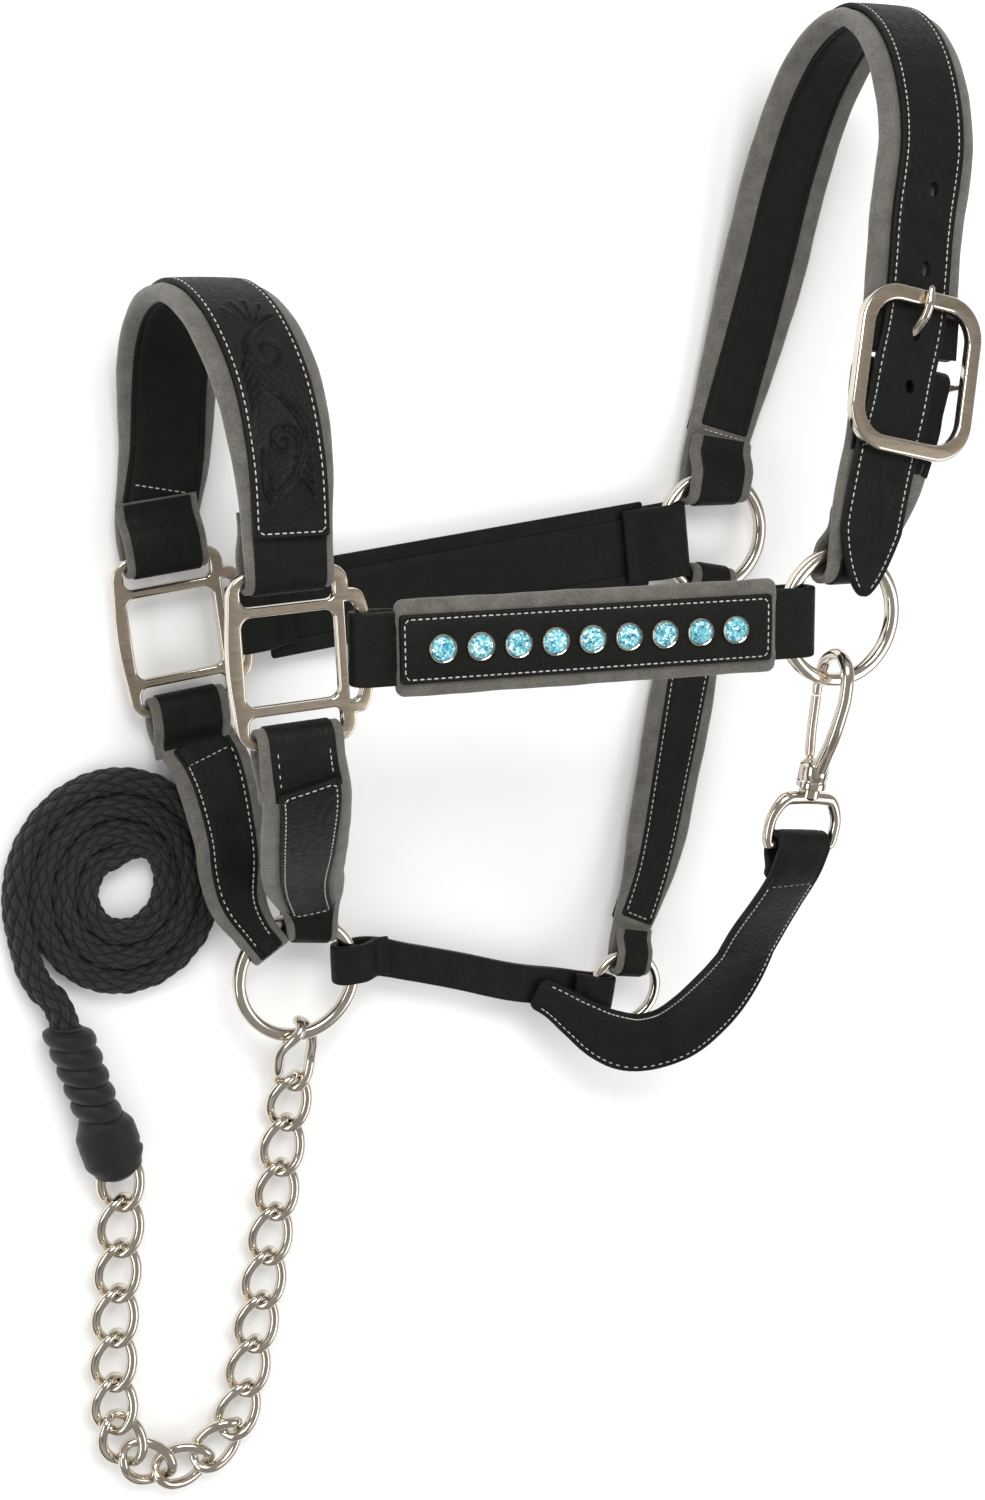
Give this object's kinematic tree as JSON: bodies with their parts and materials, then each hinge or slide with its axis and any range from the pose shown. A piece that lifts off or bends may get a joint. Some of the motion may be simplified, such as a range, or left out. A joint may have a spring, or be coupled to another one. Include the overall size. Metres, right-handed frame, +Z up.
{
  "type": "leather headcollar",
  "caption": "Padded leather horse headcollar with round crystals on its cheek strap, metal rings and squares, a crown buckle, a snap hook, a curb chain and a coiled lead rope.",
  "frame": {"origin": "the middle of the underside of the headcollar's box, without the lead rope", "axes": "+X from the nose to the cheek rings, +Y from the chin chain to the poll, +Z up, out of the near side"},
  "size_m": [0.3907, 0.635, 0.1504],
  "materials": {
    "black_leather": "fine grained, semi matt",
    "grey_padding": "soft nubuck, matt",
    "brushed_nickel": "brushed faces with polished edges",
    "aqua_crystal": "faceted and clear",
    "black_rope": "braided"
  },
  "bodies": {
    "headcollar": {"buckle_chape": "grey_padding", "buckle_frame": "brushed_nickel", "connecting_strap": "black_leather", "crown_padding": "grey_padding", "crown_strap": "black_leather", "crystal_1": "aqua_crystal", "crystal_2": "aqua_crystal", "crystal_3": "aqua_crystal", "crystal_4": "aqua_crystal", "crystal_5": "aqua_crystal", "crystal_6": "aqua_crystal", "crystal_7": "aqua_crystal", "crystal_8": "aqua_crystal", "crystal_9": "aqua_crystal", "far_cheek_padding": "grey_padding", "far_cheek_strap": "black_leather", "far_chin_padding": "grey_padding", "far_chin_strap": "black_leather", "far_square": "brushed_nickel", "far_throat_padding": "grey_padding", "far_throat_strap": "black_leather", "near_cheek_padding": "grey_padding", "near_cheek_strap": "black_leather", "near_chin_padding": "grey_padding", "near_chin_strap": "black_leather", "near_square": "brushed_nickel", "near_throat_strap": "black_leather", "noseband_padding": "grey_padding", "noseband_strap": "black_leather"},
    "near_ring": {"near_ring": "brushed_nickel"},
    "far_ring": {"far_ring": "brushed_nickel"},
    "chin_ring": {"chin_ring": "brushed_nickel"},
    "throat_ring": {"throat_ring": "brushed_nickel"},
    "buckle_prong": {"buckle_prong": "brushed_nickel"},
    "snap_eye": {"snap_eye": "brushed_nickel"},
    "snap_hook": {"snap_hook": "brushed_nickel"},
    "snap_gate": {"snap_gate": "brushed_nickel"},
    "chain_clip": {"chain_clip": "brushed_nickel"},
    "chain_link_01": {"chain_link_01": "brushed_nickel"},
    "chain_link_02": {"chain_link_02": "brushed_nickel"},
    "chain_link_03": {"chain_link_03": "brushed_nickel"},
    "chain_link_04": {"chain_link_04": "brushed_nickel"},
    "chain_link_05": {"chain_link_05": "brushed_nickel"},
    "chain_link_06": {"chain_link_06": "brushed_nickel"},
    "chain_link_07": {"chain_link_07": "brushed_nickel"},
    "chain_link_08": {"chain_link_08": "brushed_nickel"},
    "chain_link_09": {"chain_link_09": "brushed_nickel"},
    "chain_link_10": {"chain_link_10": "brushed_nickel"},
    "chain_link_11": {"chain_link_11": "brushed_nickel"},
    "chain_link_12": {"chain_link_12": "brushed_nickel"},
    "chain_link_13": {"chain_link_13": "brushed_nickel"},
    "chain_link_14": {"chain_link_14": "brushed_nickel"},
    "chain_link_15": {"chain_link_15": "brushed_nickel"},
    "chain_link_16": {"chain_link_16": "brushed_nickel"},
    "chain_link_17": {"chain_link_17": "brushed_nickel"},
    "rope": {"chain_end_link": "brushed_nickel", "rope_whipping": "black_rope", "lead_rope": "black_rope", "rope_coil": "black_rope"}
  },
  "joints": [
    {"name": "near_ring_turn", "type": "hinge", "parent": "headcollar", "child": "near_ring", "pos_m": [0.104, 0.072, 0.135], "axis": [0, 0, 1], "continuous": true},
    {"name": "far_ring_turn", "type": "hinge", "parent": "headcollar", "child": "far_ring", "pos_m": [0.119, 0.094, 0.0108], "axis": [0, 0, 1], "continuous": true},
    {"name": "chin_ring_turn", "type": "hinge", "parent": "headcollar", "child": "chin_ring", "pos_m": [-0.088, -0.086, 0.02], "axis": [0, 0, 1], "continuous": true},
    {"name": "throat_ring_turn", "type": "hinge", "parent": "headcollar", "child": "throat_ring", "pos_m": [0.072, -0.113, 0.02], "axis": [0, 0, 1], "continuous": true},
    {"name": "prong_hinge", "type": "hinge", "parent": "headcollar", "child": "buckle_prong", "pos_m": [0.13044, 0.16632, 0.13145], "axis": [0.9797, -0.1984, 0.0266], "range_deg": [0, 3]},
    {"name": "eye_rock", "type": "hinge", "parent": "headcollar", "child": "snap_eye", "pos_m": [0.09346, -0.02307, 0.12696], "axis": [0.9927, -0.1209, 0], "range_deg": [-2.5, 1]},
    {"name": "snap_swivel", "type": "hinge", "parent": "snap_eye", "child": "snap_hook", "pos_m": [0.097, 0.006, 0.1305], "axis": [-0.1201, -0.9855, -0.1201], "range_deg": [-30, 30]},
    {"name": "gate_hinge", "type": "hinge", "parent": "snap_hook", "child": "snap_gate", "pos_m": [0.09804, 0.0145, 0.1263], "axis": [0.9927, -0.1209, 0], "range_deg": [0, 30], "stiffness_Nm_per_rad": 0.02, "springref_deg": -11.46},
    {"name": "clip_swing", "type": "hinge", "parent": "headcollar", "child": "chain_clip", "pos_m": [-0.088, -0.1118, 0.02], "axis": [0, 0, 1], "range_deg": [-1.5, 12]},
    {"name": "link_01_bend", "type": "hinge", "parent": "chain_clip", "child": "chain_link_01", "pos_m": [-0.088, -0.137, 0.0095], "axis": [0, 0, 1], "range_deg": [-1, 12]},
    {"name": "link_02_bend", "type": "hinge", "parent": "chain_link_01", "child": "chain_link_02", "pos_m": [-0.0906, -0.15561, 0.00903], "axis": [0, 0, -1], "range_deg": [-12, 1]},
    {"name": "link_03_bend", "type": "hinge", "parent": "chain_link_02", "child": "chain_link_03", "pos_m": [-0.09365, -0.17587, 0.00847], "axis": [0, 0, 1], "range_deg": [-1, 12]},
    {"name": "link_04_bend", "type": "hinge", "parent": "chain_link_03", "child": "chain_link_04", "pos_m": [-0.09679, -0.19613, 0.00839], "axis": [0, 0, -1], "range_deg": [-12, 1]},
    {"name": "link_05_bend", "type": "hinge", "parent": "chain_link_04", "child": "chain_link_05", "pos_m": [-0.10023, -0.21633, 0.0084], "axis": [0, 0, 1], "range_deg": [-1, 12]},
    {"name": "link_06_bend", "type": "hinge", "parent": "chain_link_05", "child": "chain_link_06", "pos_m": [-0.10393, -0.2365, 0.0084], "axis": [0, 0, -1], "range_deg": [-12, 1]},
    {"name": "link_07_bend", "type": "hinge", "parent": "chain_link_06", "child": "chain_link_07", "pos_m": [-0.10801, -0.25658, 0.0084], "axis": [0, 0, 1], "range_deg": [-1, 12]},
    {"name": "link_08_bend", "type": "hinge", "parent": "chain_link_07", "child": "chain_link_08", "pos_m": [-0.11276, -0.27652, 0.0084], "axis": [0, 0, -1], "range_deg": [-12, 1]},
    {"name": "link_09_bend", "type": "hinge", "parent": "chain_link_08", "child": "chain_link_09", "pos_m": [-0.12039, -0.29348, 0.0084], "axis": [0, 0, 1], "range_deg": [-1, 12]},
    {"name": "link_10_bend", "type": "hinge", "parent": "chain_link_09", "child": "chain_link_10", "pos_m": [-0.13341, -0.30375, 0.0084], "axis": [0, 0, -1], "range_deg": [-12, 1]},
    {"name": "link_11_bend", "type": "hinge", "parent": "chain_link_10", "child": "chain_link_11", "pos_m": [-0.14961, -0.30443, 0.0084], "axis": [0, 0, 1], "range_deg": [-1, 12]},
    {"name": "link_12_bend", "type": "hinge", "parent": "chain_link_11", "child": "chain_link_12", "pos_m": [-0.16324, -0.29519, 0.0084], "axis": [0, 0, -1], "range_deg": [-12, 1]},
    {"name": "link_13_bend", "type": "hinge", "parent": "chain_link_12", "child": "chain_link_13", "pos_m": [-0.17004, -0.27986, 0.0084], "axis": [0, 0, 1], "range_deg": [-1, 12]},
    {"name": "link_14_bend", "type": "hinge", "parent": "chain_link_13", "child": "chain_link_14", "pos_m": [-0.17116, -0.26102, 0.0084], "axis": [0, 0, -1], "range_deg": [-12, 1]},
    {"name": "link_15_bend", "type": "hinge", "parent": "chain_link_14", "child": "chain_link_15", "pos_m": [-0.17015, -0.24056, 0.0084], "axis": [0, 0, 1], "range_deg": [-1, 12]},
    {"name": "link_16_bend", "type": "hinge", "parent": "chain_link_15", "child": "chain_link_16", "pos_m": [-0.16847, -0.22013, 0.0084], "axis": [0, 0, -1], "range_deg": [-12, 1]},
    {"name": "link_17_bend", "type": "hinge", "parent": "chain_link_16", "child": "chain_link_17", "pos_m": [-0.1666, -0.19971, 0.0084], "axis": [0, 0, 1], "range_deg": [-1, 12]},
    {"name": "rope_bend", "type": "hinge", "parent": "chain_link_17", "child": "rope", "pos_m": [-0.16526, -0.17927, 0.0084], "axis": [0, 0, -1], "range_deg": [-12, 1]}
  ]
}
